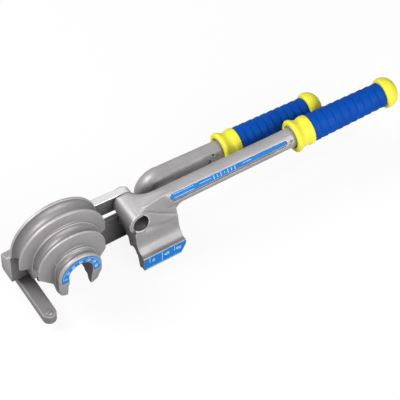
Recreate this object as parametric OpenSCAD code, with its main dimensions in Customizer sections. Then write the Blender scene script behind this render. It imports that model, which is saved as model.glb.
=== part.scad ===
// Hand tube bender with three grooves, in millimetres.
// X runs along the handles, Y away from the small end of the former, Z up.
// The former turns about the Y axis; its large flange backs on to Y = 0.

/* [Former] */
// Wall radius beside the large groove
wall_r1 = 41; // [40.5:0.1:41.4]
// Wall radius beside the middle groove
wall_r2 = 32; // [31.5:0.1:32.4]
// Wall radius beside the small groove
wall_r3 = 20; // [19.6:0.1:20.4]
// Tube diameter of the large groove
tube_d1 = 12.7; // [12:0.1:12.9]
// Tube diameter of the middle groove
tube_d2 = 9.5; // [9:0.1:9.7]
// Tube diameter of the small groove
tube_d3 = 6.35; // [6:0.05:6.5]
// Height of the tube centre above the groove walls
tube_proud = 0.8; // [0.7:0.05:1]
// Thickness of the large flange
flange_t = 2.5; // [2.2:0.1:3]
// Length of the straight part below the half wheel
skirt_h = 5; // [4:0.5:6]
// Radius of the arch through the former
arch_r = 11.1; // [10.5:0.1:11.5]
// Depth of the two legs below the axis, at their front ends
leg_h = 28; // [26.5:0.5:28.5]
// Depth of the walls of the arch behind the legs
arch_h = 22; // [21.5:0.1:22.5]
// Thickness of the hub wall at the back of the arch
hub_t = 10; // [9.5:0.5:11]

/* [Root and handles] */
// Thickness of the root plate
web_t = 3.7; // [3.4:0.1:4.2]
// Lowest edge of the root plate
web_low = -56; // [-57:0.5:-55]
// Radius of the neck that rises to the fixed handle
neck_r = 10; // [9.8:0.1:10.2]
// Distance of the fixed handle behind the flange
back_y = 9.6; // [9.5:0.1:10.2]
// Height of the fixed handle
back_z = -11.6; // [-12:0.1:-11.2]
// Downward slope of the fixed handle
back_tilt = 1.8; // [1.6:0.1:2]
// Start of the grip on the fixed handle, measured from the neck
back_u = 73; // [71:0.5:75]
// Distance of the moving handle before the flange
front_y = 20.5; // [20.3:0.1:21]
// Height of the moving handle above the shoe pivot
front_h = 8.65; // [8.2:0.05:9]
// Downward slope of the moving handle
front_tilt = 1.36; // [1.2:0.02:1.5]
// Start of the grip on the moving handle, measured from the shoe pivot
front_u = 154.7; // [152:0.1:158]
// Radius of both handles at the grip
bar_r = 8.7; // [8.5:0.1:8.9]

/* [Link and shoe] */
// Distance from the former axis to the shoe pivot along X
pivot_x = 68.8; // [68.5:0.1:70]
// Height of the shoe pivot
pivot_z = -5; // [-5.5:0.1:-4.5]
// Half height of the link
link_r = 9.3; // [9:0.1:9.6]
// Thickness of the link
link_t = 7.4; // [7:0.1:7.8]
// Radius of the two pivot pins
pin_r = 6; // [5.5:0.1:6]
// Radial running clearance of the pivots
run_gap = 0.05; // [0.03:0.01:0.08]
// Side clearance of the moving parts
side_gap = 0.6; // [0.5:0.05:0.7]
// Outer radius of the shoe barrel
barrel_r = 11; // [10.7:0.1:11.2]
// Radius of the open mouth of the barrel
mouth_r = 8; // [7.8:0.1:8.2]
// Front face of the shoe, measured from the flange
shoe_front = 43.8; // [43.4:0.1:44.2]
// Start of the shoe along X
shoe_x0 = 62; // [61.5:0.1:63]
// End of the shoe along X
shoe_x1 = 104; // [103:0.5:105]

/* [Latch] */
// Place of the latch pin along X
latch_x = -31; // [-32:0.1:-30.8]
// Place of the latch pin along Y
latch_y = 7.5; // [7:0.1:8]
// Width of the latch arm
latch_w = 12.5; // [12:0.1:12.6]
// Thickness of the latch arm
latch_t = 9.2; // [8:0.1:9.4]
// Reach from the latch pin to the stud
latch_reach = 52; // [48:0.5:54]
// Radius of the latch pin
latch_pin_r = 3; // [2.6:0.1:3.2]

/* [Grips] */
// Length of the collar
collar_l = 18; // [17.5:0.5:19]
// Length of the ribbed sleeve on the moving handle
front_sleeve_l = 75; // [68:0.5:78]
// Length of the ribbed sleeve on the fixed handle
back_sleeve_l = 71; // [64:0.5:76]
// Length of the end cap
cap_l = 15; // [14:0.1:17]
// Outer radius of the sleeve at its collar
sleeve_r = 12.6; // [12.3:0.1:12.7]
// Outer radius of the sleeve at its end cap
sleeve_end_r = 11.2; // [10.8:0.1:12]
// Outer radius of the collar lip
lip_r = 14.8; // [14.4:0.1:14.9]
// Outer radius of the end cap
cap_r = 13.7; // [13.4:0.1:13.9]
// Radius of the tang inside the grip
tang_r = 8; // [7.6:0.1:8.2]
// Number of ribs on the sleeve
rib_n = 10; // [6:1:12]

/* [Labels] */
// Thickness of the labels
label_t = 0.4; // [0.3:0.05:0.5]

/* [Hidden] */
$fn = 96;
cast_c = [0.66, 0.66, 0.66];
steel_c = [0.80, 0.80, 0.82];
dark_c = [0.42, 0.42, 0.43];
blue_c = [0.07, 0.33, 0.78];
yellow_c = [0.95, 0.90, 0.20];
label_c = [0.10, 0.50, 0.86];
red_c = [0.62, 0.10, 0.10];
land = 1.7;
step_1 = 3;
step_2 = 3.2;
h1 = half_width(tube_d1);
h2 = half_width(tube_d2);
h3 = half_width(tube_d3);
g1 = flange_t + h1;
a_r1 = g1 + h1 + 2.4;
a_r2 = a_r1 + step_1;
g2 = a_r2 + land + h2;
a_r3 = g2 + h2 + land;
a_r4 = a_r3 + step_2;
g3 = a_r4 + 2 + h3;
former_l = g3 + h3 + 3.1;
link_len = sqrt(pivot_x * pivot_x + pivot_z * pivot_z);
link_ang = atan2(-pivot_z, pivot_x);
link_y0 = side_gap;
link_y1 = side_gap + link_t;
block_z = -38.4;
block_d = 15;
block_w = 22;
neck_x = 96;
bend_r = 13;
wash_t = 1.2;
ring_t = 1.1;
// Foot and root plate: start and end of the flat foot, end of its bevel, end of the plate
foot_x0 = 40;
foot_x1 = 80;
foot_x2 = 90;
root_x = 100;
// Span of the block that trims the legs
leg_span = 80;
// Top and bottom of the label on the shoe
tag_top = -35.4;
tag_low = -49.6;
// Handle label: how much shorter than the bar it is, and its half widths
strip_short = 38.7;
strip_w = 5.6;
strip_end_w = 3.4;
groove_gap = 0.2;
arm_top = block_z - 0.9;
bore_end = 16;
seat = 5;
tang_in = 3.7;
face_tilt = 34;
back_face_tilt = 6;
dimple_tilt = 40;
label_floor = 7;
block_x = -wall_r1 - 2;
bump_x = latch_x + 11.5;
bump_y = -8;

// Half width of a groove where it meets its walls
function half_width(d) = sqrt(d * d / 4 - tube_proud * tube_proud);
// Points of a groove round a tube centre, side is 1 for the former, -1 for the shoe
function groove(c, a, d, side) = [
    for (i = [0:12])
        let (f = acos(2 * tube_proud / d), t = -f + 2 * f * i / 12)
        [c - side * d / 2 * cos(t), a + d / 2 * sin(t)]
];
// Outer outline of the former as radius and distance from the flange back
wheel = concat(
    [[wall_r1 - 0.5, 0], [wall_r1, 0.5]],
    groove(wall_r1 + tube_proud, g1, tube_d1, 1),
    [[wall_r1, a_r1 - 0.5], [wall_r1 - 0.6, a_r1], [wall_r2 + 0.2, a_r2 - 0.2], [wall_r2, a_r2 + 0.4]],
    groove(wall_r2 + tube_proud, g2, tube_d2, 1),
    [[wall_r2, a_r3 - 0.5], [wall_r2 - 0.6, a_r3], [wall_r3 + 0.2, a_r4 - 0.2], [wall_r3, a_r4 + 0.4]],
    groove(wall_r3 + tube_proud, g3, tube_d3, 1),
    [[wall_r3, former_l - 0.8], [wall_r3 - 0.8, former_l]]
);
former_outline = concat(wheel, [[arch_r, former_l], [arch_r, 0]]);
// Underside of the shoe as height and distance from the flange back
shoe_d1 = pivot_z - (link_len - wall_r1 - tube_proud);
shoe_d2 = pivot_z - (link_len - wall_r2 - tube_proud);
shoe_d3 = pivot_z - (link_len - wall_r3 - tube_proud);
shoe_under = concat(
    [[shoe_d1 + tube_proud, side_gap + 1.2]],
    groove(shoe_d1, g1, tube_d1, -1),
    [[shoe_d1 + tube_proud, a_r1], [shoe_d2 + tube_proud, a_r2]],
    groove(shoe_d2, g2, tube_d2, -1),
    [[shoe_d2 + tube_proud, a_r3], [shoe_d3 + tube_proud, a_r4]],
    [for (p = groove(shoe_d3, g3, tube_d3, -1)) if (p[1] < shoe_front - 0.3) p],
    [[shoe_d3 + 2.1, shoe_front]]
);
shoe_over = [
    [-35.2, shoe_front], [-34.8, shoe_front - 1.2], [-34.3, 40.4], [-33.5, 38], [-32.2, 36], [-30.3, 34.4],
    [-27.8, 33.2], [-24, 32.2], [-19, 31.5], [-14, 30.9], [-14, side_gap + 1.2]
];
// Front of the handle root above the saddle, as distance from the flange back and height
root_front = [
    [0.8, -15], [31.1, -15], [30.9, -14], [29.7, -11], [28.5, -7], [27.5, -3], [26.6, 1], [25.6, 5],
    [24.6, 10], [0.8, 10]
];
// Top of the handle root beside the bar, as X and height
root_top = [
    [62, -20], [62, 3.2], [64, 4.5], [68, 6.2], [72, 7.2], [77, 7.9], [84, 8.2], [90, 7.8], [96, 6.4],
    [104, 3.4], [104, -20]
];
// Plan of the handle root, hollowed behind from the barrel's end to the bar
root_plan = [
    [60, -1], [70.5, -1], [73, -3.2], [75.5, -5.8], [78.5, -8.2], [82, -10], [87, -11.4], [94, -12],
    [110, -12], [110, -60], [60, -60]
];
// Slope of the bar where it rises from the barrel, as X and height
bar_rise = [
    [60, -30], [60, 5.6], [69, 6.2], [74, 7.6], [79, 8.8], [84, 9.8], [89, 10.9], [94, 11.9], [99, 12.6],
    [106, 14], [400, 14], [400, -30]
];
shoe_outline = [for (p = concat(shoe_under, shoe_over)) [-p[1], p[0]]];
front_tang = collar_l + front_sleeve_l + tang_in;
back_tang = collar_l + back_sleeve_l + tang_in;
hollow = [[19, 4], [31, 4], [31, 15.3], [24.5, 18.5], [24.5, 30.3], [19, 30.3]];
leg_end = [[wall_r2 + 1, 1], [wall_r2 + 1, -6.5], [wall_r2, -7], [wall_r3 + 0.3, 11 - leg_h],
    [wall_r3 - 0.2, 5.5 - leg_h], [wall_r3 - 0.8, 2.4 - leg_h], [wall_r3 - 1.9, 0.6 - leg_h],
    [wall_r3 - 4, -leg_h]];
leg_from = g2 + h2 + 0.4;
leg_side = concat([[arch_r, leg_from], [wall_r2, leg_from]], [for (p = wheel) if (p[1] > leg_from) p],
    [[arch_r, former_l]]);

// Which piece to draw, or all of them

// Turns a piece drawn along Z so that it runs toward the viewer side from a place
module along_front(x, y, z) {
    translate([x, y, z])
        rotate([90, 0, 0])
            children();
}

// Draws an outline given in X and Z as a plate between two values of Y
module plate_y(y0, y1) {
    translate([0, y1, 0])
        rotate([90, 0, 0])
            linear_extrude(y1 - y0)
                children();
}

// Half wheel with the three stepped grooves
module half_wheel() {
    rotate([90, 0, 0])
        rotate_extrude(angle = 180, $fn = 144)
            polygon(former_outline);
    for (s = [-1, 1])
        translate([0, 0, -skirt_h])
            linear_extrude(skirt_h)
                polygon([for (p = former_outline) [s * p[0], -p[1]]]);
}

// Hollow under the large steps of the half wheel
module core_pocket() {
    rotate([90, 0, 0])
        rotate_extrude(angle = 180)
            polygon(hollow);
    for (s = [-1, 1])
        translate([0, 0, -skirt_h - 1])
            linear_extrude(skirt_h + 1)
                polygon([for (p = hollow) [s * p[0], -p[1]]]);
}

// Legs that carry the small groove straight down on both sides of the arch
module legs() {
    intersection() {
        translate([0, 0, -leg_h])
            linear_extrude(leg_h)
                for (s = [-1, 1])
                    polygon([for (p = leg_side) [s * p[0], -p[1]]]);
        plate_y(-former_l - 1, 1)
            polygon(concat([for (p = leg_end) [-p[0], p[1]]], [for (i = [7:-1:0]) leg_end[i]]));
    }
}

// Walls of the open channel under the arch
module channel_walls() {
    for (s = [-1, 1])
        translate([s * (arch_r + 1.9) - 1.9, 8 - former_l, -arch_h])
            cube([3.8, former_l - 8, arch_h]);
}

// Straight slot with round ends, drawn flat
module slot(len, w0, w1) {
    polygon([[w0 / 2, -w0 / 2], [len - w1 / 2, -w1 / 2], [len - w1 / 2, w1 / 2], [w0 / 2, w0 / 2]]);
    translate([w0 / 2, 0])
        circle(d = w0, $fn = 32);
    translate([len - w1 / 2, 0])
        circle(d = w1, $fn = 32);
}

// Places a piece drawn along Z on the fixed handle at a distance from the neck
module on_back(u) {
    translate([neck_x, back_y, back_z])
        rotate([0, 90 + back_tilt, 0])
            translate([0, 0, u])
                children();
}

// Neck and fixed handle bar
module back_bar() {
    translate([neck_x, back_y, web_low])
        cylinder(h = 16, r1 = 7, r2 = neck_r);
    translate([neck_x, back_y, web_low + 16])
        cylinder(h = back_z - bend_r - web_low - 14.5, r = neck_r);
    on_back(bend_r)
        rotate([0, -90, 0])
            translate([0, 0, -bend_r])
                rotate([90, 0, 0])
                    rotate([0, 0, 90])
                        rotate_extrude(angle = 90 - back_tilt)
                            translate([bend_r, 0])
                                circle(r = neck_r + 0.3);
    on_back(bend_r - 1.5)
        cylinder(h = back_u + seat - bend_r + 1.5, r1 = neck_r, r2 = bar_r);
    on_back(back_u + seat - 2)
        cylinder(h = back_tang - seat + 2, r = tang_r);
}

// Latch block, root plate and the webs that tie them to the hub
module root() {
    translate([block_x, 0, 0])
        rotate([90, 0, 90])
            linear_extrude(block_w)
                polygon([[0, -9.5], [0, block_z], [block_d - 3, block_z], [block_d, block_z + 2.4],
                    [block_d, -18]]);
    translate([block_x, -flange_t, block_z])
        cube([block_w, flange_t + 0.5, -block_z - skirt_h + 1]);
    translate([-24, -4, -30])
        cube([38, 4 + web_t, 18.2]);
    translate([-24, -4, -12.2])
        cube([38, 4, 7.5]);
    translate([-27.5, -12, -36])
        cube([14.5, 8.5, 18]);
    plate_y(0, web_t)
        polygon([[block_x, -9.5], [block_x, block_z], [-20, block_z], [-12, -40.4], [20, -50],
            [foot_x0, web_low], [foot_x1, web_low], [foot_x2, web_low + 4],
            [root_x, web_low + 12], [root_x, web_low + 36],
            [foot_x1 + 4, web_low + 36], [foot_x1, web_low + 33.8], [24, web_low + 33.8],
            [14, -13.5], [0, -11.8], [-21, -11.5], [-21, -9.5]]);
    plate_y(0, 10)
        polygon([[foot_x0, web_low], [foot_x1, web_low], [foot_x2, web_low + 4], [foot_x2, web_low + 8.5],
            [foot_x1 - 1, web_low + 4.5], [foot_x0, web_low + 4.5]]);
}

// Former: half wheel, legs, hub, latch block, root plate, neck and fixed handle
module former() {
    color(cast_c)
    difference() {
        union() {
            difference() {
                half_wheel();
                core_pocket();
            }
            intersection() {
                legs();
                translate([-leg_span / 2, 0, 0])
                    rotate([90, 0, 90])
                        linear_extrude(leg_span)
                            polygon([[2, 2], [-former_l, 2], [-former_l, -8], [2.8 - former_l, -17],
                                [4.5 - former_l, 2.4 - leg_h], [5.2 - former_l, 0.8 - leg_h],
                                [6.6 - former_l, -leg_h], [9 - former_l, 0.6 - leg_h],
                                [10.6 - former_l, 3.4 - leg_h], [11.6 - former_l, 7.5 - leg_h],
                                [-leg_from, 11.2 - leg_h], [2, 11.2 - leg_h]]);
            }
            channel_walls();
            along_front(0, 0, 0)
                cylinder(h = hub_t, r = arch_r + 1);
            translate([-arch_r - 1, -hub_t, -arch_h])
                cube([2 * arch_r + 2, hub_t, arch_h]);
            root();
            back_bar();
        }
        along_front(0, 1, 0)
            cylinder(h = 9, r = pin_r);
        translate([latch_x, latch_y, block_z - 1])
            cylinder(h = 17.4, r = latch_pin_r);
        translate([bump_x, bump_y, block_z + 1.4])
            cylinder(h = 7, r = 2.5);
        on_back(0)
            rotate([0, -90, 0])
                rotate([-back_face_tilt, 0, 0])
                    translate([2, -6.6, 0])
                        rotate([90, 0, 0])
                            linear_extrude(10)
                                slot(back_u - 14, 7, 7);
        on_back(0)
            rotate([0, -90, 0])
                rotate([-dimple_tilt, 0, 0])
                    translate([back_u - 9.5, 1.4 - bar_r, 0])
                        rotate([90, 0, 0])
                            cylinder(h = 6, r = 1.4, $fn = 24);
    }
}

// Pin through the link, grooved for its ring
module grooved_pin(len, at) {
    difference() {
        cylinder(h = len, r = pin_r);
        translate([0, 0, at])
            difference() {
                cylinder(h = ring_t, r = pin_r + 1);
                translate([0, 0, -1])
                    cylinder(h = ring_t + 2, r = pin_r - 0.5);
            }
    }
}

// Flat round washer, drawn along Z
module washer(ro, ri, t) {
    difference() {
        cylinder(h = t, r = ro);
        translate([0, 0, -1])
            cylinder(h = t + 2, r = ri);
    }
}

// Pin fixed in the hub that carries the link
module centre_pin() {
    color(steel_c)
    along_front(0, 12, 0)
        grooved_pin(20, 12 - link_y1 - 2 * groove_gap - wash_t - ring_t);
}

// Washer behind the link
module centre_washer() {
    color(steel_c)
    along_front(0, link_y1 + groove_gap + wash_t, 0)
        washer(11, pin_r + 0.2, wash_t);
}

// Retaining ring that holds the washer on the centre pin
module centre_ring() {
    color(dark_c)
    along_front(0, link_y1 + 2 * groove_gap + wash_t + ring_t, 0)
        washer(7.8, pin_r - 0.5, ring_t);
}

// Link bar between the former axis and the shoe pivot
module link() {
    color(steel_c)
    difference() {
        rotate([0, link_ang, 0])
            plate_y(link_y0, link_y1)
                union() {
                    circle(r = link_r);
                    translate([link_len, 0])
                        circle(r = link_r);
                    translate([0, -link_r])
                        square([link_len, 2 * link_r]);
                }
        along_front(0, 20, 0)
            cylinder(h = 30, r = pin_r + run_gap);
        along_front(pivot_x, 20, pivot_z)
            cylinder(h = 30, r = pin_r);
    }
}

// Places a piece drawn along Z on the moving handle at a distance from the pivot
module on_bar(u) {
    translate([pivot_x, -front_y, pivot_z + front_h])
        rotate([0, 90 + front_tilt, 0])
            translate([0, 0, u])
                children();
}

// Shoe, barrel and moving handle in one casting
module shoe_handle() {
    color(cast_c)
    difference() {
        union() {
            difference() {
                translate([shoe_x0, 0, 0])
                    rotate([90, 0, 90])
                        linear_extrude(shoe_x1 - shoe_x0)
                            polygon(shoe_outline);
                plate_y(-60, 10)
                    polygon([[shoe_x1, -40], [shoe_x1 + 4, -40], [shoe_x1 + 4, -60], [shoe_x1 - 8, -60],
                        [shoe_x1 - 5, -50.5]]);
            }
            intersection() {
                along_front(pivot_x, 0.2, pivot_z)
                    cylinder(h = 34, r = barrel_r);
                translate([0, 0, -40])
                    linear_extrude(60)
                        polygon([[50, 2], [90, 2], [90, -23.2], [50, -30.2]]);
            }
            intersection() {
                translate([shoe_x0 + 1, 0, 0])
                    rotate([90, 0, 90])
                        linear_extrude(shoe_x1 - shoe_x0 - 1.3)
                            polygon([for (p = root_front) [-p[0], p[1]]]);
                plate_y(-60, 10)
                    polygon(root_top);
                translate([0, 0, -40])
                    linear_extrude(60)
                        polygon(root_plan);
            }
            intersection() {
                on_bar(1)
                    cylinder(h = front_u + seat - 1, r1 = 9.6, r2 = bar_r);
                translate([0, 0, -60])
                    linear_extrude(120)
                        polygon([[50, 0], [400, 0], [400, -60], [90, -60], [90, -31], [80, -25.5], [71, -22],
                            [50, -22]]);
                plate_y(-60, 10)
                    polygon(bar_rise);
            }
            on_bar(front_u + seat - 2)
                cylinder(h = front_tang - seat + 2, r = tang_r);
            plate_y(-front_y - 4.5, -front_y + 4.5)
                polygon([[shoe_x1 - 4, -2], [shoe_x1 + 15, -4], [shoe_x1 + 9, -7.2], [shoe_x1 + 4.5, -9.8],
                    [shoe_x1 + 1.5, -13.6], [shoe_x1 - 0.4, -19], [shoe_x1 - 4, -19]]);
        }
        along_front(pivot_x, 5, pivot_z)
            cylinder(h = 40, r = pin_r + run_gap);
        along_front(pivot_x, -bore_end, pivot_z)
            cylinder(h = 30, r = mouth_r);
        on_bar(0)
            rotate([0, -90, 0])
                rotate([-face_tilt, 0, 0])
                    translate([29.5, -label_floor, 0])
                        rotate([90, 0, 0])
                            linear_extrude(10)
                                slot(front_u - 37.5, 7.4, 5.2);
        on_bar(0)
            rotate([0, -90, 0])
                rotate([-face_tilt, 0, 0])
                    translate([front_u - 4, 1.4 - bar_r, 0])
                        rotate([90, 0, 0])
                            cylinder(h = 6, r = 1.4, $fn = 24);
    }
}

// Pin fixed in the link that carries the shoe barrel
module shoe_pin() {
    color(steel_c)
    union() {
        along_front(pivot_x, link_y1, pivot_z)
            grooved_pin(link_y1 + 21, link_y1 + bore_end + 2 * groove_gap + wash_t);
        along_front(pivot_x, link_y1 + 1.4, pivot_z)
            cylinder(h = 1.4, r = 7.6);
    }
}

// Washer inside the mouth of the barrel
module shoe_washer() {
    color(steel_c)
    along_front(pivot_x, -bore_end - groove_gap, pivot_z)
        washer(7.3, pin_r + 0.2, wash_t);
}

// Retaining ring on the front end of the shoe pin
module shoe_ring() {
    color(dark_c)
    along_front(pivot_x, -bore_end - 2 * groove_gap - wash_t, pivot_z)
        washer(7.1, pin_r - 0.5, ring_t);
}

// Swinging arm that holds the straight end of the tube
module latch_arm() {
    color(dark_c)
    difference() {
        translate([latch_x, latch_y, arm_top - latch_t])
            linear_extrude(latch_t)
                union() {
                    circle(d = latch_w);
                    translate([0, -latch_reach])
                        circle(d = latch_w);
                    translate([-latch_w / 2, -latch_reach])
                        square([latch_w, latch_reach]);
                }
        translate([latch_x, latch_y, arm_top - latch_t - 1])
            cylinder(h = latch_t + 2, r = latch_pin_r + run_gap);
        translate([latch_x, latch_y - latch_reach, arm_top - 4])
            cylinder(h = 5, r = 2.4);
    }
}

// Headed pin on which the latch arm swings
module latch_pin() {
    color(steel_c)
    union() {
        translate([latch_x, latch_y, arm_top - latch_t - 0.2])
            cylinder(h = block_z + 16.4 - arm_top + latch_t + 0.2, r = latch_pin_r);
        translate([latch_x, latch_y, arm_top - latch_t - 2.7])
            cylinder(h = 2.5, r = 5.5);
    }
}

// Washer between the block and the latch arm
module latch_washer() {
    color(steel_c)
    translate([latch_x, latch_y, block_z - 0.6])
        washer(5.6, latch_pin_r, 0.6);
}

// Stud near the free end of the latch arm
module latch_stud() {
    color(dark_c)
    translate([latch_x, latch_y - latch_reach, arm_top - 4])
        union() {
            cylinder(h = 4, r = 2.4);
            translate([0, 0, 4])
                cylinder(h = 0.6, r1 = 3.2, r2 = 2.6);
        }
}

// Soft bumper beside the latch arm
module latch_bumper() {
    color(red_c)
    translate([bump_x, bump_y, -44.5])
        cylinder(h = 14.5, r = 2.5);
}

// Flared collar, drawn along Z from its lip
module collar() {
    rotate_extrude()
        polygon([[bar_r + 1.9, 0.4], [bar_r + 2.7, 0], [lip_r - 1.6, 0.2], [lip_r - 0.5, 1], [lip_r, 2.4],
            [lip_r - 0.3, 4], [lip_r - 1.2, 5.6], [lip_r - 2.2, 7.2], [12.1, 9], [12.2, 10.8], [12.8, 12.4],
            [13.2, 13.4], [13.2, collar_l - 0.4], [12.8, collar_l], [tang_r, collar_l], [tang_r, seat],
            [bar_r + 1.9, seat]]);
}

// Radius of the tapered sleeve at a share of its length
function taper(t) = sleeve_r + (sleeve_end_r - sleeve_r) * t;

// Ribbed sleeve, drawn along Z
module sleeve(len) {
    pitch = len / rib_n;
    rotate_extrude()
        polygon(concat(
            [[tang_r, 0]],
            [for (i = [0:rib_n - 1]) each [[taper(i / rib_n) - 0.6, i * pitch + 0.001],
                [taper(i / rib_n), i * pitch + 0.9],
                [taper((i + 1) / rib_n) - 0.6, (i + 1) * pitch - 0.001]]],
            [[tang_r, len]]
        ));
}

// Rounded end cap, drawn along Z
module cap() {
    rotate_extrude()
        polygon([[0, 4], [tang_r, 4], [tang_r, 0], [cap_r - 1.5, 0], [cap_r - 0.4, 0.7], [cap_r, 2.2],
            [cap_r, cap_l - 10], [cap_r - 0.6, cap_l - 7.4], [cap_r - 2, cap_l - 4.9],
            [cap_r - 4.2, cap_l - 2.7], [cap_r - 7, cap_l - 1.1], [cap_r - 10, cap_l - 0.2], [0, cap_l]]);
}

// Collar on the fixed handle
module back_collar() {
    color(yellow_c)
    on_back(back_u)
        collar();
}

// Sleeve on the fixed handle
module back_sleeve() {
    color(blue_c)
    on_back(back_u + collar_l)
        sleeve(back_sleeve_l);
}

// End cap on the fixed handle
module back_cap() {
    color(yellow_c)
    on_back(back_u + collar_l + back_sleeve_l)
        cap();
}

// Collar on the moving handle
module front_collar() {
    color(yellow_c)
    on_bar(front_u)
        collar();
}

// Sleeve on the moving handle
module front_sleeve() {
    color(blue_c)
    on_bar(front_u + collar_l)
        sleeve(front_sleeve_l);
}

// End cap on the moving handle
module front_cap() {
    color(yellow_c)
    on_bar(front_u + collar_l + front_sleeve_l)
        cap();
}

// Angle scale round the arch at the small end
module scale_label() {
    color(label_c)
    plate_y(-former_l - label_t, -former_l)
        difference() {
            union() {
                circle(r = wall_r3 - 2);
                translate([2 - wall_r3, -5])
                    square([2 * wall_r3 - 4, 5]);
            }
            circle(r = arch_r + 0.8);
            translate([-arch_r - 0.8, -40])
                square([2 * arch_r + 1.6, 40]);
            translate([-40, -45])
                square([80, 40]);
        }
}

// Plain label on the front of the shoe
module shoe_label() {
    color(label_c)
    plate_y(-shoe_front - label_t, -shoe_front)
        polygon([[shoe_x0 + 0.7, tag_top], [shoe_x1 - 0.7, tag_top], [shoe_x1 - 0.7, tag_top - 4.6],
            [shoe_x1 - 5.4, tag_low], [shoe_x0 + 0.7, tag_low]]);
}

// Plain label in the pocket of the moving handle
module handle_label() {
    color(label_c)
    on_bar(0)
        rotate([0, -90, 0])
            rotate([-face_tilt, 0, 0])
                translate([30.1, -label_floor, 0.5])
                    rotate([90, 0, 0])
                        linear_extrude(label_t)
                            slot(front_u - strip_short, strip_w, strip_end_w);
}

former();
centre_pin();
centre_washer();
centre_ring();
link();
shoe_handle();
shoe_pin();
shoe_washer();
shoe_ring();
latch_arm();
latch_pin();
latch_washer();
latch_stud();
latch_bumper();
back_collar();
back_sleeve();
back_cap();
front_collar();
front_sleeve();
front_cap();
scale_label();
shoe_label();
handle_label();
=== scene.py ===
import math

import bmesh
import bpy
from bpy.props import FloatProperty, FloatVectorProperty, IntProperty, PointerProperty
from mathutils import Matrix, Vector


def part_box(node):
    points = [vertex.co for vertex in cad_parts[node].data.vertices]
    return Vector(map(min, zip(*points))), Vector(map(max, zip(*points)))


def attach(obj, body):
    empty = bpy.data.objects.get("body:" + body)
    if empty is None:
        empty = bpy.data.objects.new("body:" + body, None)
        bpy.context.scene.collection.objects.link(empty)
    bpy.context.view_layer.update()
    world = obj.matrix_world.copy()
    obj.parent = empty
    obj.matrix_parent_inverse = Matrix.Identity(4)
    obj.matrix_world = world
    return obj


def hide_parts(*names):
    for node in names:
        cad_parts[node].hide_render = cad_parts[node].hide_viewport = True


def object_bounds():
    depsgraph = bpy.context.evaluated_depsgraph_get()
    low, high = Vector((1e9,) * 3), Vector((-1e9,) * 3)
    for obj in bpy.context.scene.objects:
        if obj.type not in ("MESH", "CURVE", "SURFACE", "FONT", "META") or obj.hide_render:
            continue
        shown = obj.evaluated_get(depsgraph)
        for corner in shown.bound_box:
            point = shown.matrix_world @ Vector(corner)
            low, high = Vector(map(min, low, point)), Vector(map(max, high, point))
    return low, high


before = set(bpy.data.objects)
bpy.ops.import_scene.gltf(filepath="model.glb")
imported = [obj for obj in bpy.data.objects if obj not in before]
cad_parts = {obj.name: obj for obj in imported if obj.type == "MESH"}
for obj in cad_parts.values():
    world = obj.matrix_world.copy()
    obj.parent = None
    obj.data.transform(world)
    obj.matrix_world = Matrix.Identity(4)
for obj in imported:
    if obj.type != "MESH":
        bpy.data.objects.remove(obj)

bl_info = {
    "name": "Hand Tube Bender",
    "version": (1, 0, 0),
    "blender": (4, 5, 0),
    "location": "View3D > Sidebar > Tube Bender",
    "description": "Dresses the tube bender's frame with castings, steel, grips and labels",
    "category": "Object",
}

CAD_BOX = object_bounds()
MM = 0.001

# Where each handle bar starts and how far it dips along +X
BARS = {
    "front": {
        "start": (68.8 * MM, -20.5 * MM, 3.65 * MM), "dip": math.radians(1.36), "body": "shoe",
    },
    "back": {
        "start": (96 * MM, 9.6 * MM, -11.6 * MM), "dip": math.radians(1.8), "body": "former",
    },
}
# Mouth of the shoe's barrel: centre and radius in mm, and how far its lower edge leans forward
# for each mm of height
MOUTH = {"centre": (68.8, -28.4, -5.0), "radius": 8.0, "lean": 0.225}
# First crease below the shoe's bar, from the mouth outwards, in mm
ROOT_CREASE = [(77.5, -26.4, 2.6), (88.6, -27.9, -4.8), (103.5, -30.6, -13.4)]

# Faces round a turned piece, strength of one round of softening, and how many half widths a
# pressed line reaches
LATHE_STEPS = 72
SOFTENING = 0.5
LINE_REACH = 3
# Lengths under this count as nothing, in metres
TINY = 1e-6
# Added stroke width of a number, as a share of its height
BOLDER = 0.02

# Noise values that count as light and as dark, and each scale's share in the shade
GRAIN_SPAN, GRAIN_SHARE = (0.3, 0.7), 0.35
MOTTLE_SPAN, MOTTLE_SHARE = (0.35, 0.65), 0.65
# Cosine between the flat and the rounded normal where an edge starts and where it is full
EDGE_COSINES = (0.99, 0.82)
# Brightness of a finish under its painted highlight on rounded edges, its painted shade in recesses
# and its painted shade in concave corners
EDGE_HIGHLIGHT, RECESS_SHADE_LIGHT, CORNER_SHADE_LIGHT = 1.25, 0.25, 0.35


# Node groups

def start_group(name, inputs, outputs):
    """An empty shader node group with named sockets."""
    tree = bpy.data.node_groups.new(name, "ShaderNodeTree")
    for label, kind, default in inputs:
        socket = tree.interface.new_socket(label, in_out="INPUT", socket_type=kind)
        socket.default_value = default
    for label, kind in outputs:
        tree.interface.new_socket(label, in_out="OUTPUT", socket_type=kind)
    return tree, tree.nodes.new("NodeGroupInput"), tree.nodes.new("NodeGroupOutput")


def add_node(tree, kind, **settings):
    """A node with its own settings; a socket is set by its name in the inputs dict."""
    node = tree.nodes.new(kind)
    for socket, value in settings.pop("inputs", {}).items():
        node.inputs[socket].default_value = value
    for field, value in settings.items():
        setattr(node, field, value)
    return node


def feed(tree, value, socket):
    """Sets an input to a number or a colour, or links another node's output to it."""
    if isinstance(value, (int, float, tuple)):
        socket.default_value = value
    else:
        tree.links.new(value, socket)


def noise(tree, scale, vector, detail, roughness=0.55):
    """A noise texture on the given coordinates; scale is a number or a socket."""
    node = add_node(tree, "ShaderNodeTexNoise", inputs={"Detail": detail, "Roughness": roughness})
    tree.links.new(vector, node.inputs["Vector"])
    feed(tree, scale, node.inputs["Scale"])
    return node.outputs["Fac"]


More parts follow.
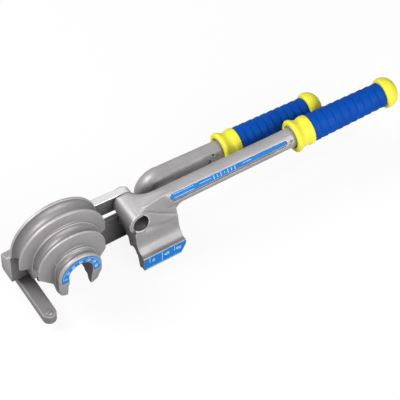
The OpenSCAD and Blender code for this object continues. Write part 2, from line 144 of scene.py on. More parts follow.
def remap(tree, value, low, high, to_low, to_high):
    """Stretches a value from one range to another, clamped; ends are numbers or sockets."""
    node = tree.nodes.new("ShaderNodeMapRange")
    tree.links.new(value, node.inputs["Value"])
    ends = {"From Min": low, "From Max": high, "To Min": to_low, "To Max": to_high}
    for label, end in ends.items():
        feed(tree, end, node.inputs[label])
    return node.outputs["Result"]


def calculate(tree, operation, a, b):
    """One math step; a and b are numbers or sockets."""
    node = add_node(tree, "ShaderNodeMath", operation=operation)
    for slot, value in enumerate((a, b)):
        feed(tree, value, node.inputs[slot])
    return node.outputs[0]


def mix_colour(tree, factor, first, second):
    """Mixes a colour socket with a second colour, a socket or plain, by a factor socket."""
    node = add_node(tree, "ShaderNodeMix", data_type="RGBA")
    for label, value in (("Factor", factor), ("A", first), ("B", second)):
        feed(tree, value, node.inputs[label])
    return node.outputs["Result"]


def surface_grain_group():
    """Fine grain over a broad mottle: colour, roughness and height that vary over a surface."""
    tree, taken, given = start_group(
        "Surface Grain",
        [
            ("Light Colour", "NodeSocketColor", (0.5, 0.5, 0.5, 1)),
            ("Dark Colour", "NodeSocketColor", (0.3, 0.3, 0.3, 1)),
            ("Grain Scale", "NodeSocketFloat", 900.0),
            ("Mottle Scale", "NodeSocketFloat", 60.0),
            ("Smooth", "NodeSocketFloat", 0.35),
            ("Rough", "NodeSocketFloat", 0.5),
        ],
        [("Colour", "NodeSocketColor"), ("Roughness", "NodeSocketFloat"),
         ("Height", "NodeSocketFloat")],
    )
    place = tree.nodes.new("ShaderNodeTexCoord").outputs["Object"]
    fine = noise(tree, taken.outputs["Grain Scale"], place, detail=3)
    broad = noise(tree, taken.outputs["Mottle Scale"], place, detail=4)
    speckle = remap(tree, fine, *GRAIN_SPAN, 0.0, GRAIN_SHARE)
    patch = remap(tree, broad, *MOTTLE_SPAN, 0.0, MOTTLE_SHARE)
    shade = calculate(tree, "ADD", speckle, patch)
    tree.links.new(
        mix_colour(tree, shade, taken.outputs["Light Colour"], taken.outputs["Dark Colour"]),
        given.inputs["Colour"],
    )
    tree.links.new(
        remap(tree, shade, 0.0, 1.0, taken.outputs["Smooth"], taken.outputs["Rough"]),
        given.inputs["Roughness"],
    )
    tree.links.new(fine, given.inputs["Height"])
    return tree


def soft_edge_group():
    """Rounded-over edges: a mask that is 1 along edges, and the rounded normal."""
    tree, taken, given = start_group(
        "Soft Edge",
        [("Radius", "NodeSocketFloat", 0.0005)],
        [("Mask", "NodeSocketFloat"), ("Normal", "NodeSocketVector")],
    )
    bevel = add_node(tree, "ShaderNodeBevel", samples=6)
    tree.links.new(taken.outputs["Radius"], bevel.inputs["Radius"])
    facing = tree.nodes.new("ShaderNodeNewGeometry").outputs["Normal"]
    along = add_node(tree, "ShaderNodeVectorMath", operation="DOT_PRODUCT")
    tree.links.new(bevel.outputs["Normal"], along.inputs[0])
    tree.links.new(facing, along.inputs[1])
    mask = remap(tree, along.outputs["Value"], *EDGE_COSINES, 0.0, 1.0)
    tree.links.new(mask, given.inputs["Mask"])
    tree.links.new(bevel.outputs["Normal"], given.inputs["Normal"])
    return tree


def recess_shade_group():
    """Painted shade: a mask from ambient occlusion that is 0 in the open and 1 deep inside, weak
    beyond a place along X.
    """
    tree, taken, given = start_group(
        "Recess Shade",
        [
            ("Reach", "NodeSocketFloat", 0.02),
            ("Open", "NodeSocketFloat", 0.95),
            ("Deep", "NodeSocketFloat", 0.3),
            ("Clean From", "NodeSocketFloat", 1.0),
        ],
        [("Mask", "NodeSocketFloat")],
    )
    sky = add_node(tree, "ShaderNodeAmbientOcclusion", samples=8)
    tree.links.new(taken.outputs["Reach"], sky.inputs["Distance"])
    bright, dull = taken.outputs["Open"], taken.outputs["Deep"]
    painted_shade = remap(tree, sky.outputs["AO"], bright, dull, 0.0, 1.0)
    place = tree.nodes.new("ShaderNodeSeparateXYZ")
    tree.links.new(tree.nodes.new("ShaderNodeTexCoord").outputs["Object"], place.inputs[0])
    beyond = calculate(tree, "SUBTRACT", place.outputs["X"], taken.outputs["Clean From"])
    fade, left = 0.03, 0.25
    kept = remap(tree, beyond, 0.0, fade, 1.0, left)
    tree.links.new(calculate(tree, "MULTIPLY", painted_shade, kept), given.inputs["Mask"])
    return tree


def edge_highlight_and_corner_shade_group():
    """Painted highlight and shade of a dense mesh: a mask of its convex edges and one of its concave
    corners.
    """
    tree, taken, given = start_group(
        "Edge Rub",
        [("Start", "NodeSocketFloat", 0.01), ("Full", "NodeSocketFloat", 0.06)],
        [("Edge", "NodeSocketFloat"), ("Corner", "NodeSocketFloat")],
    )
    flat, sharp = 0.5, tree.nodes.new("ShaderNodeNewGeometry").outputs["Pointiness"]
    for label, high, low in (("Edge", sharp, flat), ("Corner", flat, sharp)):
        turn = calculate(tree, "SUBTRACT", high, low)
        mask = remap(tree, turn, taken.outputs["Start"], taken.outputs["Full"], 0.0, 1.0)
        tree.links.new(mask, given.inputs[label])
    return tree


def brushed_lines_group():
    """Long fine scratches along X: a roughness that varies, and a height."""
    tree, taken, given = start_group(
        "Brushed Lines",
        [
            ("Line Scale", "NodeSocketFloat", 1500.0),
            ("Smooth", "NodeSocketFloat", 0.2),
            ("Rough", "NodeSocketFloat", 0.4),
        ],
        [("Roughness", "NodeSocketFloat"), ("Height", "NodeSocketFloat")],
    )
    place = tree.nodes.new("ShaderNodeTexCoord").outputs["Object"]
    stretch = add_node(tree, "ShaderNodeVectorMath", operation="MULTIPLY")
    along_lines = 0.04
    stretch.inputs[1].default_value = (along_lines, 1.0, 1.0)
    tree.links.new(place, stretch.inputs[0])
    lines = noise(tree, taken.outputs["Line Scale"], stretch.outputs[0], detail=3, roughness=0.7)
    tree.links.new(
        remap(tree, lines, *GRAIN_SPAN, taken.outputs["Smooth"], taken.outputs["Rough"]),
        given.inputs["Roughness"],
    )
    tree.links.new(lines, given.inputs["Height"])
    return tree


GROUPS = {}


def shared_group(name):
    """The shared node group of that name, built once."""
    if name not in GROUPS:
        makers = {
            "Surface Grain": surface_grain_group,
            "Soft Edge": soft_edge_group,
            "Recess Shade": recess_shade_group,
            "Edge Rub": edge_highlight_and_corner_shade_group,
            "Brushed Lines": brushed_lines_group,
        }
        GROUPS[name] = makers[name]()
    return GROUPS[name]


def place_group(tree, name, **values):
    """Places a shared group in a material with its own values; _ in a name stands for a space."""
    node = add_node(tree, "ShaderNodeGroup", node_tree=shared_group(name))
    for label, value in values.items():
        node.inputs[label.replace("_", " ")].default_value = value
    return node


# Materials

def four(colour, share=1.0):
    """A colour with alpha, at a share of its brightness."""
    return (colour[0] * share, colour[1] * share, colour[2] * share, 1.0)


def bumped(tree, height, strength, distance, normal=None):
    """A bump from a height socket, over an optional normal socket."""
    bump = add_node(tree, "ShaderNodeBump", inputs={"Strength": strength, "Distance": distance})
    tree.links.new(height, bump.inputs["Height"])
    if normal is not None:
        tree.links.new(normal, bump.inputs["Normal"])
    return bump.outputs["Normal"]


def new_finish(name):
    """A node material, its tree and its Principled shader."""
    material = bpy.data.materials.new(name)
    material.use_nodes = True
    return material, material.node_tree, material.node_tree.nodes["Principled BSDF"]


def grained_finish(
    name, colour, dark=0.8, grain=900.0, mottle=60.0, rough=(0.35, 0.5), metallic=0.0, bump=0.2,
    depth=0.00006, edge=None, gloss=0.5, recess=None, shade_fade=1.0, edge_highlight=None,
):
    """A finish from the surface grain, with a painted highlight on edges of the given radius.

    It has painted shade in recesses of the given reach, up to a place along X where that shade
    fades.
    With edge_highlight, a dense mesh's convex edges get that brightness as a painted highlight and
    its concave corners get painted shade.
    """
    material, tree, shader = new_finish(name)
    grain_node = place_group(
        tree, "Surface Grain", Light_Colour=four(colour), Dark_Colour=four(colour, dark),
        Grain_Scale=grain, Mottle_Scale=mottle, Smooth=rough[0], Rough=rough[1],
    )
    shade, normal = grain_node.outputs["Colour"], None
    if edge is not None:
        # Painted highlight: the colour is lightened along rounded edges
        rounded = place_group(tree, "Soft Edge", Radius=edge)
        normal = rounded.outputs["Normal"]
        shade = mix_colour(tree, rounded.outputs["Mask"], shade, four(colour, EDGE_HIGHLIGHT))
    if recess is not None:
        # Painted shade: the colour is darkened in recesses found by ambient occlusion
        painted_shade = place_group(tree, "Recess Shade", Reach=recess, Clean_From=shade_fade)
        shade = mix_colour(tree, painted_shade.outputs["Mask"], shade, four(colour, RECESS_SHADE_LIGHT))
    if edge_highlight is not None:
        # Painted shade in concave corners, and a painted highlight on convex edges
        edge_and_corner = place_group(tree, "Edge Rub")
        shade = mix_colour(tree, edge_and_corner.outputs["Corner"], shade, four(colour, CORNER_SHADE_LIGHT))
        shade = mix_colour(tree, edge_and_corner.outputs["Edge"], shade, four(colour, edge_highlight))
    tree.links.new(shade, shader.inputs["Base Color"])
    tree.links.new(grain_node.outputs["Roughness"], shader.inputs["Roughness"])
    normal = bumped(tree, grain_node.outputs["Height"], bump, depth, normal)
    tree.links.new(normal, shader.inputs["Normal"])
    shader.inputs["Metallic"].default_value = metallic
    shader.inputs["Specular IOR Level"].default_value = gloss
    return material


def brushed_finish(name, colour, rough, metallic, edge, recess):
    """Bright steel with fine lines along its length, rounded-over edges and painted shade in
    recesses.
    """
    dark, painted_shade_light, bump, depth = 0.86, 0.12, 0.1, 0.00004
    material, tree, shader = new_finish(name)
    grain = place_group(
        tree, "Surface Grain", Light_Colour=four(colour), Dark_Colour=four(colour, dark),
        Grain_Scale=1400.0, Mottle_Scale=90.0,
    )
    lines = place_group(tree, "Brushed Lines", Line_Scale=1800.0, Smooth=rough[0], Rough=rough[1])
    edge_highlight = place_group(tree, "Soft Edge", Radius=edge)
    # Painted shade: the colour darkens in recesses found by ambient occlusion
    painted_shade = place_group(tree, "Recess Shade", Reach=recess)
    shade = mix_colour(
        tree, painted_shade.outputs["Mask"], grain.outputs["Colour"], four(colour, painted_shade_light)
    )
    tree.links.new(shade, shader.inputs["Base Color"])
    tree.links.new(lines.outputs["Roughness"], shader.inputs["Roughness"])
    normal = bumped(tree, lines.outputs["Height"], bump, depth, edge_highlight.outputs["Normal"])
    tree.links.new(normal, shader.inputs["Normal"])
    shader.inputs["Metallic"].default_value = metallic
    return material


def dress(name, material):
    """Gives a CAD node its finish."""
    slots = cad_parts[name].data.materials
    slots.clear()
    slots.append(material)


# Meshes

def add_piece(name, mesh, material, body, slot, *nodes):
    """Links a mesh as a piece that rides on a body and stands for the given nodes."""
    piece = bpy.data.objects.new(name, mesh)
    bpy.context.scene.collection.objects.link(piece)
    mesh.materials.clear()
    mesh.materials.append(material)
    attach(piece, body)
    if nodes:
        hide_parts(*nodes)
    return piece


def evaluated_mesh(name, mesh, *changes):
    """A new mesh: the given one with modifiers applied; a change is (kind, settings)."""
    holder = bpy.data.objects.new(name, mesh)
    bpy.context.scene.collection.objects.link(holder)
    for spot, weights in enumerate(c[1].pop("weights", None) for c in changes):
        if weights is not None:
            group = holder.vertex_groups.new(name=f"soft{spot}")
            for index, weight in enumerate(weights):
                if weight > 0:
                    group.add([index], weight, "REPLACE")
            changes[spot][1]["vertex_group"] = group.name
    for kind, settings in changes:
        modifier = holder.modifiers.new(kind.lower(), kind)
        for field, value in settings.items():
            setattr(modifier, field, value)
    graph = bpy.context.evaluated_depsgraph_get()
    made = bpy.data.meshes.new_from_object(holder.evaluated_get(graph), depsgraph=graph)
    bpy.data.objects.remove(holder)
    bpy.data.meshes.remove(mesh)
    if not made.polygons:
        raise RuntimeError(f"{name}: its mesh came out empty")
    return made


def inside(point, low, high, fade):
    """1 inside a box, falling to 0 over the fade distance outside it."""
    out = max(max(a - p, p - b, 0.0) for p, a, b in zip(point, low, high))
    return max(0.0, 1.0 - out / fade)


def near_line(point, line):
    """Distance from a point to a line of points, and the nearest place's share of the line."""
    best, share = 1.0, 0.0
    for i, (a, b) in enumerate(zip(line, line[1:])):
        run = b - a
        t = min(1.0, max(0.0, (point - a).dot(run) / run.length_squared))
        gap = (point - a - run * t).length
        if gap < best:
            best, share = gap, (i + t) / (len(line) - 1)
    return best, share


def press_lines(mesh, strokes):
    """Presses soft valleys along lines, or raises ridges where the depth is negative.

    A stroke is (line in mm, half width, depth at its start, depth at its end).
    """
    lines = [([Vector(p) * MM for p in line], *rest) for line, *rest in strokes]
    moves = []
    for vertex in mesh.vertices:
        push = 0.0
        for line, half, deep0, deep1 in lines:
            gap, share = near_line(vertex.co, line)
            if gap < LINE_REACH * half:
                push += (deep0 + (deep1 - deep0) * share) * math.exp(-((gap / half) ** 2))
        if push:
            moves.append((vertex, vertex.co - vertex.normal * push))
    for vertex, place in moves:
        vertex.co = place


def eased(value, low, high):
    """0 at low, 1 at high, with a soft start and end."""
    share = min(1.0, max(0.0, (value - low) / (high - low)))
    return share * share * (3 - 2 * share)


def flatten_root(mesh):
    """Pares the shoe's bar to one flat between its ridge and the first crease, beside the mouth."""
    # All in mm: the flat's place and facing, the box it lies in, where it fades in and out along X,
    # below and above the crease and towards the front, and how deep a place may lie to be raised
    foot, out = Vector((72.0, -25.2, 7.0)), Vector((-0.031, -0.977, 0.211))
    low, high = (70, -34, -16), (106, -18, 12)
    fade_in, fade_out, under, over, front = (71, 78), (91, 104), 0.6, 1.2, (19, 22)
    deepest = -4
    crease = [Vector(p) for p in ROOT_CREASE]
    for vertex in mesh.vertices:
        at = vertex.co / MM
        if not all(a < c < b for a, c, b in zip(low, at, high)):
            continue
        a, b = (crease[0], crease[1]) if at.x < crease[1].x else (crease[1], crease[2])
        line = a.z + (b.z - a.z) * (at.x - a.x) / (b.x - a.x)
        share = (eased(at.x, *fade_in) * (1 - eased(at.x, *fade_out))
                 * eased(at.z, line - under, line + over) * eased(-at.y, *front))
        proud = (at - foot).dot(out)
        if proud > deepest:
            vertex.co = (at - out * proud * share) * MM


def lower_tips(mesh):
    """Draws the inner edges of the former's two legs down and trims the boss over the bumper."""
    # All in mm: the boss's new underside and the box it lies in, then how far the legs' tips drop,
    # where the drop starts and is full below the axis, and how far from the middle it reaches
    boss_end = -34.3
    boss_low, boss_high = (-28.5, -13, -37), (-12, -2.5, boss_end)
    drop, start, full = 3.6, 14, 26
    legs_front, legs_side, edge_side, edge_fade = -32, 22, 20, 8
    for vertex in mesh.vertices:
        at = vertex.co / MM
        x, y, z = at
        if all(a < c < b for a, c, b in zip(boss_low, at, boss_high)):
            vertex.co.z = boss_end * MM
        elif y < legs_front and z < -start and abs(x) < legs_side:
            fall = drop * eased(-z, start, full) * eased(edge_side - abs(x), 0, edge_fade)
            vertex.co.z = (z - fall) * MM


def filleted_mesh(node, step, rounds, keep, soft_boxes=(), strokes=(), reshape=None):
    """The node's shape with edges rounded over as a casting's are, more so in the soft boxes."""
    skin = evaluated_mesh(
        node + ".skin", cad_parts[node].data.copy(),
        ("REMESH", {"mode": "VOXEL", "voxel_size": step}),
    )
    soften = []
    for low, high, fade, more in soft_boxes:
        weights = [inside(v.co, low, high, fade) for v in skin.vertices]
        soften.append(("SMOOTH", {"factor": SOFTENING, "iterations": more, "weights": weights}))
    if soften:
        skin = evaluated_mesh(node + ".blended", skin, *soften)
    if reshape is not None:
        reshape(skin)
    if strokes:
        press_lines(skin, strokes)
    mesh = evaluated_mesh(
        node + ".soft", skin,
        ("SMOOTH", {"factor": SOFTENING, "iterations": rounds}), ("DECIMATE", {"ratio": keep}),
    )
    mesh.polygons.foreach_set("use_smooth", [True] * len(mesh.polygons))
    return mesh


def bar_frame(bar):
    """The bar's start and its axes: along, across and up."""
    dip = BARS[bar]["dip"]
    along = Vector((math.cos(dip), 0, -math.sin(dip)))
    across = Vector((0, 1, 0))
    return Vector(BARS[bar]["start"]), along, across, along.cross(across)


def reach_along(node, bar):
    """How far along its bar a node starts and ends."""
    start, along, _, _ = bar_frame(bar)
    places = [(v.co - start).dot(along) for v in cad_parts[node].data.vertices]
    return min(places), max(places)


def handle_label_face():
    """Where the handle label starts and ends along its bar, its edges, and a place on its face."""
    near_end = 8 * MM
    start, along, _, _ = bar_frame("front")
    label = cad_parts["handle_label"].data

    def off_bar(face):
        from_start = face.center - start
        return from_start - along * from_start.dot(along)

    outer = [f for f in label.polygons if f.normal.dot(off_bar(f)) > 0]
    if not outer:
        raise RuntimeError("handle label: no face looks away from the bar")
    out = max(outer, key=lambda f: f.area).normal.copy()
    side = out.cross(along).normalized()
    places = [v.co - start for v in label.vertices]
    seat = max(p.dot(out) for p in places)
    first, last = min(p.dot(along) for p in places), max(p.dot(along) for p in places)
    ends = []
    for near in (first, last):
        across = [p.dot(side) for p in places if abs(p.dot(along) - near) < near_end]
        ends.append((min(across), max(across)))

    def edge(share, which):
        return ends[0][which] + (ends[1][which] - ends[0][which]) * share

    def on_face(u, w, rise):
        return start + along * u + side * w + out * (seat + rise)

    return first, last, edge, on_face


def mouth_edge(steps=24):
    """Line, in mm, round the edge of the barrel's mouth."""
    x, y, z = MOUTH["centre"]
    turns = [2 * math.pi * i / steps for i in range(steps + 1)]
    rounds = [(MOUTH["radius"] * math.sin(a), MOUTH["radius"] * math.cos(a)) for a in turns]
    return [(x + across, y + MOUTH["lean"] * rise, z + rise) for across, rise in rounds]


def label_groove():
    """Line, in mm, round the handle label's start and along its lower edge."""
    first, last, edge, on_face = handle_label_face()
    off, corner, inset = 0.9 * MM, 2 * MM, 0.3 * MM
    low, high = edge(0, 0), edge(0, 1)
    spots = [
        (first + corner, high + off), (first, high - inset), (first - off, (low + high) / 2),
        (first, low + inset), (first + corner, low - off), (last - corner, edge(1, 0) - off),
    ]
    return [on_face(u, w, 0) / MM for u, w in spots]


def rounded_profile(points, passes=2):
    """Cuts the corners of an open line of points; its two ends stay."""
    near, far = 0.75, 0.25
    for _ in range(passes):
        cut = [points[0]]
        for (u0, r0), (u1, r1) in zip(points, points[1:]):
            cut.append((near * u0 + far * u1, near * r0 + far * r1))
            cut.append((far * u0 + near * u1, far * r0 + near * r1))
        cut.append(points[-1])
        points = cut
    return points


def lathe_mesh(name, bar, offset, profile, closed_end=False):
    """Turns a profile of (place along, radius) about a bar; without closed_end it is a tube."""
    start, along, across, up = bar_frame(bar)
    mesh = bpy.data.meshes.new(name)
    build = bmesh.new()
    rings = []
    for u, r in profile:
        centre = start + along * (offset + u)
        if r < TINY:
            rings.append([build.verts.new(centre)])
            continue
        rings.append([
            build.verts.new(centre + (across * math.cos(a) + up * math.sin(a)) * r)
            for a in (2 * math.pi * i / LATHE_STEPS for i in range(LATHE_STEPS))
        ])
    pairs = list(zip(rings, rings[1:]))
    if not closed_end:
        pairs.append((rings[-1], rings[0]))
    for low, high in pairs:
        for i in range(LATHE_STEPS):
            j = (i + 1) % LATHE_STEPS
            if len(high) == 1:
                build.faces.new((low[i], low[j], high[0]))
            elif len(low) == 1:
                build.faces.new((low[0], high[j], high[i]))
            else:
                build.faces.new((low[i], low[j], high[j], high[i]))
    bmesh.ops.recalc_face_normals(build, faces=build.faces)
    build.to_mesh(mesh)
    build.free()
    mesh.polygons.foreach_set("use_smooth", [True] * len(mesh.polygons))
    return mesh


def prism_mesh(name, outlines, thickness, to_world):
    """Thin closed plates from flat outlines, set in place by to_world(x, y, rise)."""
    mesh = bpy.data.meshes.new(name)
    build = bmesh.new()
    for outline in outlines:
        low = [build.verts.new(to_world(x, y, 0)) for x, y in outline]
        high = [build.verts.new(to_world(x, y, thickness)) for x, y in outline]
        build.faces.new(low[::-1])
        build.faces.new(high)
        for i in range(len(outline)):
            j = (i + 1) % len(outline)
            build.faces.new((low[i], low[j], high[j], high[i]))
    bmesh.ops.recalc_face_normals(build, faces=build.faces)
    build.to_mesh(mesh)
    build.free()
    return mesh


def number_mesh(words, size, thickness):
    """Plain numbers as one thin mesh; words holds (text, matrix) pairs."""
    joined = bmesh.new()
    for text, matrix in words:
        curve = bpy.data.curves.new("number", "FONT")
        curve.body, curve.size = text, size
        curve.extrude, curve.offset = thickness / 2, size * BOLDER
        curve.align_x, curve.align_y = "CENTER", "CENTER"
        holder = bpy.data.objects.new("number", curve)
        bpy.context.scene.collection.objects.link(holder)
        graph = bpy.context.evaluated_depsgraph_get()
        mesh = bpy.data.meshes.new_from_object(holder.evaluated_get(graph), depsgraph=graph)
        mesh.transform(matrix)
        joined.from_mesh(mesh)
        bpy.data.objects.remove(holder)
        bpy.data.curves.remove(curve)
        bpy.data.meshes.remove(mesh)
    made = bpy.data.meshes.new("numbers")
    bmesh.ops.remove_doubles(joined, verts=joined.verts, dist=TINY)
    joined.to_mesh(made)
    joined.free()
    return made


# Settings

class CastingSettings(bpy.types.PropertyGroup):
    """Finish and fillets of the two castings and the latch arm."""

    colour: FloatVectorProperty(
        name="Casting colour", description="Satin grey of the castings", subtype="COLOR", size=3,
        min=0, max=1, default=(0.385, 0.368, 0.376),
    )
    step: FloatProperty(
        name="Skin step", description="Mesh step of the rounded castings", unit="LENGTH",
        default=0.4 * MM,
    )
    rounds: IntProperty(
        name="Fillet rounds", description="How far edges are rounded over", default=2,
    )
    keep: FloatProperty(name="Share kept", description="Share of the faces kept", default=0.18)


class SteelSettings(bpy.types.PropertyGroup):
    """Colours of the link, the pins and the latch."""

    link: FloatVectorProperty(
        name="Link colour", description="Bright plated steel", subtype="COLOR", size=3,
        min=0, max=1, default=(0.78, 0.78, 0.79),
    )
    pin: FloatVectorProperty(
        name="Pin colour", description="Turned steel", subtype="COLOR", size=3,
        min=0, max=1, default=(0.5, 0.49, 0.48),
    )
    dark: FloatVectorProperty(
        name="Washer colour", description="Dark spring steel", subtype="COLOR", size=3,
        min=0, max=1, default=(0.16, 0.155, 0.155),
    )
    bumper: FloatVectorProperty(
        name="Bumper colour", description="Red rubber", subtype="COLOR", size=3,
        min=0, max=1, default=(0.5, 0.014, 0.02),
    )


class GripSettings(bpy.types.PropertyGroup):
    """Colours and ribs of the two grips."""

    cap: FloatVectorProperty(
        name="Cap colour", description="Yellow of collars and caps", subtype="COLOR", size=3,
        min=0, max=1, default=(0.9, 0.84, 0.06),
    )
    sleeve: FloatVectorProperty(
        name="Sleeve colour", description="Blue of the sleeves", subtype="COLOR", size=3,
        min=0, max=1, default=(0.001, 0.074, 0.43),
    )
    ribs: IntProperty(name="Ribs", description="Ribs on one sleeve", default=10)
    rib_depth: FloatProperty(
        name="Rib depth", description="Depth of the notch between ribs", unit="LENGTH",
        default=0.7 * MM,
    )


class LabelSettings(bpy.types.PropertyGroup):
    """Colours of the labels and their marks."""

    ground: FloatVectorProperty(
        name="Label colour", description="Blue ground", subtype="COLOR", size=3,
        min=0, max=1, default=(0.003, 0.205, 0.64),
    )
    print: FloatVectorProperty(
        name="Mark colour", description="Pale marks", subtype="COLOR", size=3,
        min=0, max=1, default=(0.5, 0.76, 0.97),
    )


class StageSettings(bpy.types.PropertyGroup):
    """Light and camera."""

    key: FloatProperty(
        name="Key light", description="Power of the key light", unit="POWER", default=20.0,
    )
    fill: FloatProperty(
        name="Fill light", description="Power of the fill light", unit="POWER", default=20.0,
    )
    ambient: FloatProperty(
        name="Ambient", description="Strength of the light from all round", default=0.03,
    )
    lens: FloatProperty(name="Lens", description="Focal length in millimetres", default=225.0)


# Operators

class TUBEBENDER_OT_castings(bpy.types.Operator):
    """Rounds over and finishes the former and the shoe with its handle"""

    bl_idname = "tubebender.castings"
    bl_label = "Castings"

    # Where the castings flow together: low and high corner and fade in metres, rounds of softening
    elbow = [((0.083, -0.002, -0.040), (0.116, 0.022, 0.002), 0.006, 95)]
    root = [
        ((0.066, -0.017, -0.004), (0.106, 0.001, 0.014), 0.004, 170),
        ((0.060, -0.043, -0.033), (0.105, -0.029, -0.014), 0.002, 20),
    ]
    # Creases that fan out over the shoe's front, and the cove above its label: line in mm, half
    # width, depth at the start and at the end
    creases = [
        (ROOT_CREASE, 1.2 * MM, 0.7 * MM, 0.7 * MM),
        ([(74.0, -30.6, -13.6), (82.0, -31.0, -15.0), (97.0, -31.6, -19.8)],
         3.2 * MM, 1.9 * MM, 0.2 * MM),
        ([(62.0, -40.0, -34.2), (104.0, -40.0, -34.2)], 2.4 * MM, 0.9 * MM, 0.9 * MM),
    ]

    def execute(self, context):
        made = context.scene.bender_casting
        # The groove round the handle label, and the raised rim round the mouth of the barrel
        creases = self.creases + [
            (label_groove(), 0.6 * MM, 0.7 * MM, 0.7 * MM),
            (mouth_edge(), 0.9 * MM, -0.9 * MM, -0.9 * MM),
        ]
        # The casting's colour has painted shade in recesses and concave corners and a painted
        # highlight on its convex edges
        satin = grained_finish(
            "satin casting", made.colour, dark=0.8, grain=1300.0, mottle=45.0, rough=(0.38, 0.5),
            metallic=0.25, bump=0.25, depth=0.0001, gloss=0.45, recess=0.05, shade_fade=0.085, edge_highlight=1.7,
        )
        for node, body, soft, strokes, reshape in (
            ("former", "former", self.elbow, (), lower_tips),
            ("shoe_handle", "shoe", self.root, creases, flatten_root),
        ):
            mesh = filleted_mesh(node, made.step, made.rounds, made.keep, soft, strokes, reshape)
            add_piece(node + ".casting", mesh, satin, body, "casting", node)
        return {"FINISHED"}


class TUBEBENDER_OT_link(bpy.types.Operator):
    """Finishes the link that joins the former to the shoe"""

    bl_idname = "tubebender.link"
    bl_label = "Link"

    def execute(self, context):
        colours = context.scene.bender_steel
        # The link's colour has painted shade in its recesses
        bright = brushed_finish(
            "bright link steel", colours.link, rough=(0.24, 0.4), metallic=0.9, edge=0.0008,
            recess=0.06,
        )
        mesh = filleted_mesh("link", step=0.45 * MM, rounds=4, keep=0.3)
        add_piece("link.bar", mesh, bright, "link", "link_steel", "link")
        return {"FINISHED"}


class TUBEBENDER_OT_pins(bpy.types.Operator):
    """Finishes the pins, washers and rings"""

    bl_idname = "tubebender.pins"
    bl_label = "Pins and rings"

    def execute(self, context):
        colours = context.scene.bender_steel
        # The pins have painted shade in their recesses; the washers and rings have a painted
        # highlight on their edges
        turned = brushed_finish(
            "turned pin steel", colours.pin, rough=(0.24, 0.4), metallic=0.85, edge=0.0004,
            recess=0.01,
        )
        spring = grained_finish(
            "dark spring steel", colours.dark, dark=0.7, grain=1800.0, mottle=120.0,
            rough=(0.3, 0.5), metallic=0.7, edge=0.0003,
        )
        for node in ("centre_pin", "shoe_pin", "latch_pin"):
            dress(node, turned)
        for node in ("centre_washer", "centre_ring", "shoe_washer", "shoe_ring", "latch_washer"):
            dress(node, spring)
        return {"FINISHED"}


class TUBEBENDER_OT_latch(bpy.types.Operator):
    """Rounds over and finishes the latch arm, its stud and its bumper"""

    bl_idname = "tubebender.latch"
    bl_label = "Latch"

    # Brightness of the arm and of the stud beside the castings
    arm_light, stud_light = 0.86, 0.8

    def execute(self, context):
        colour = context.scene.bender_casting.colour
        colours = context.scene.bender_steel
        # The arm has painted shade in its recesses; the stud and the bumper have a painted highlight
        # on their edges
        cast = grained_finish(
            "latch arm casting", [c * self.arm_light for c in colour], dark=0.84, grain=1300.0,
            mottle=60.0, rough=(0.32, 0.46), metallic=0.12, bump=0.2, depth=0.00008, gloss=0.3,
            recess=0.06,
        )
        dull = grained_finish(
            "dull stud steel", [c * self.stud_light for c in colour], dark=0.75, grain=2000.0,
            mottle=200.0, rough=(0.35, 0.5), metallic=0.6, edge=0.0003,
        )
        rubber = grained_finish(
            "red bumper rubber", colours.bumper, dark=0.7, grain=1500.0, mottle=150.0,
            rough=(0.5, 0.65), edge=0.0003,
        )
        mesh = filleted_mesh("latch_arm", step=0.4 * MM, rounds=7, keep=0.3)
        add_piece("latch_arm.casting", mesh, cast, "latch", "casting", "latch_arm")
        dress("latch_stud", dull)
        dress("latch_bumper", rubber)
        return {"FINISHED"}


